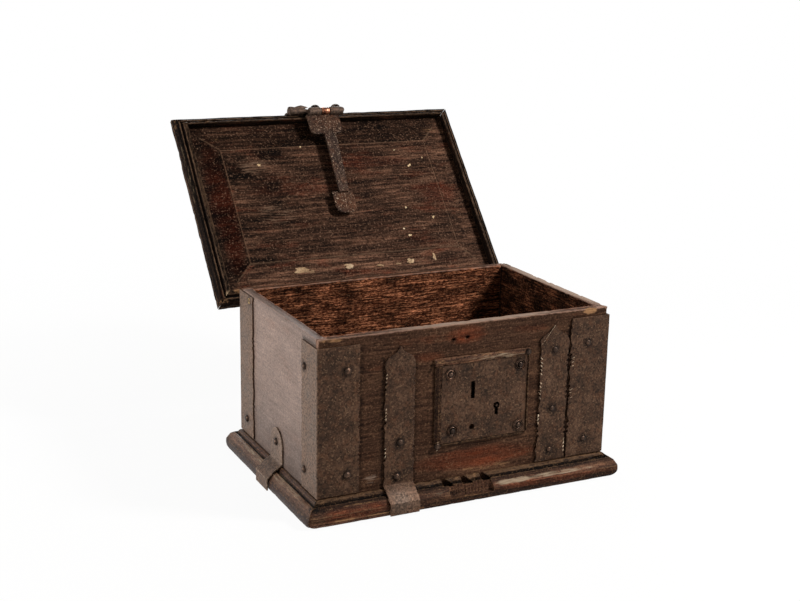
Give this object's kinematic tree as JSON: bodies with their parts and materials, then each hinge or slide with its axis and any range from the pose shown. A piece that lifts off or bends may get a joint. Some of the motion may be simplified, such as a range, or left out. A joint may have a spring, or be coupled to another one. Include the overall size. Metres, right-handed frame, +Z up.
{
  "type": "studded wooden casket",
  "caption": "Iron-bound wooden casket with a moulded foot, a fielded lid on strap hinges, and a hasp that swings down into a front lock plate.",
  "frame": {"origin": "middle of the underside of the bottom board", "axes": "+Z up, -Y out of the front face with the lock plate, +X to the right seen from the front"},
  "size_m": [0.4456, 0.5309, 0.4313],
  "materials": {
    "stained_oak": "dark stain, waxed and worn",
    "worn_oak": "dark stain, rubbed through on the edges",
    "forged_iron": "forged, brown patina",
    "rubbed_iron": "forged, rubbed bright on the high spots"
  },
  "bodies": {
    "body": {"front_board": "stained_oak", "back_board": "stained_oak", "left_end_board": "stained_oak", "right_end_board": "stained_oak", "bottom_board": "stained_oak", "base_moulding_front": "worn_oak", "base_moulding_back": "worn_oak", "base_moulding_left": "worn_oak", "base_moulding_right": "worn_oak", "corner_iron_front_left": "forged_iron", "corner_iron_front_right": "forged_iron", "corner_iron_back_left": "forged_iron", "corner_iron_back_right": "forged_iron", "front_strap_left": "forged_iron", "front_strap_right": "forged_iron", "end_strap_left": "forged_iron", "end_strap_right": "forged_iron", "lock_plate": "forged_iron", "lock_frame_top": "worn_oak", "lock_frame_bottom": "worn_oak", "lock_frame_left": "worn_oak", "lock_frame_right": "worn_oak", "lock_case": "forged_iron", "drill_pin": "rubbed_iron", "hinge_back_leaf_left": "forged_iron", "hinge_back_leaf_right": "forged_iron", "nail_corner_left_upper": "rubbed_iron", "nail_corner_left_lower": "rubbed_iron", "nail_corner_end_upper": "rubbed_iron", "nail_corner_end_lower": "rubbed_iron", "nail_corner_right_upper": "rubbed_iron", "nail_corner_right_lower": "rubbed_iron", "nail_back_iron_upper": "rubbed_iron", "nail_back_iron_lower": "rubbed_iron", "nail_strap_left_upper": "rubbed_iron", "nail_strap_left_lower": "rubbed_iron", "nail_strap_right_upper": "rubbed_iron", "nail_strap_right_middle": "rubbed_iron", "nail_strap_right_lower": "rubbed_iron", "nail_end_strap": "rubbed_iron", "nail_plate_top_left": "rubbed_iron", "nail_plate_top_right": "rubbed_iron", "nail_plate_bottom_left": "rubbed_iron", "nail_plate_bottom_right": "rubbed_iron"},
    "hinge_pins": {"hinge_pin_left": "forged_iron", "hinge_pin_right": "forged_iron"},
    "lid": {"lid_panel": "stained_oak", "lid_moulding_front": "worn_oak", "lid_moulding_back": "worn_oak", "lid_moulding_left": "worn_oak", "lid_moulding_right": "worn_oak", "hinge_lid_leaf_left": "forged_iron", "hinge_lid_leaf_right": "forged_iron", "hasp_strap": "forged_iron"},
    "hasp_pin": {"hasp_pin": "rubbed_iron"},
    "hasp": {"hasp": "forged_iron", "hasp_staple": "forged_iron", "hasp_locating_stud": "forged_iron"},
    "bolt": {"lock_bolt": "rubbed_iron"}
  },
  "joints": [
    {"name": "lid_close", "type": "hinge", "parent": "body", "child": "hinge_pins", "pos_m": [0, 0.1506, 0.2075], "axis": [-1, 0, 0], "range_deg": [-40.6, 0]},
    {"name": "lid_swing", "type": "hinge", "parent": "hinge_pins", "child": "lid", "pos_m": [0, 0.1506, 0.2075], "axis": [-1, 0, 0], "range_deg": [-91, 0]},
    {"name": "hasp_fold", "type": "hinge", "parent": "lid", "child": "hasp_pin", "pos_m": [0, 0.34163, 0.42718], "axis": [-1, 0, 0], "range_deg": [0, 91]},
    {"name": "hasp_swing", "type": "hinge", "parent": "hasp_pin", "child": "hasp", "pos_m": [0, 0.34163, 0.42718], "axis": [-1, 0, 0], "range_deg": [0, 100]},
    {"name": "bolt_slide", "type": "slide", "parent": "body", "child": "bolt", "axis": [-1, 0, 0], "range_m": [0, 0.014]}
  ],
  "couplings": [
    {"joint": "hasp_fold", "follows": "lid_swing", "ratio": -1}
  ]
}
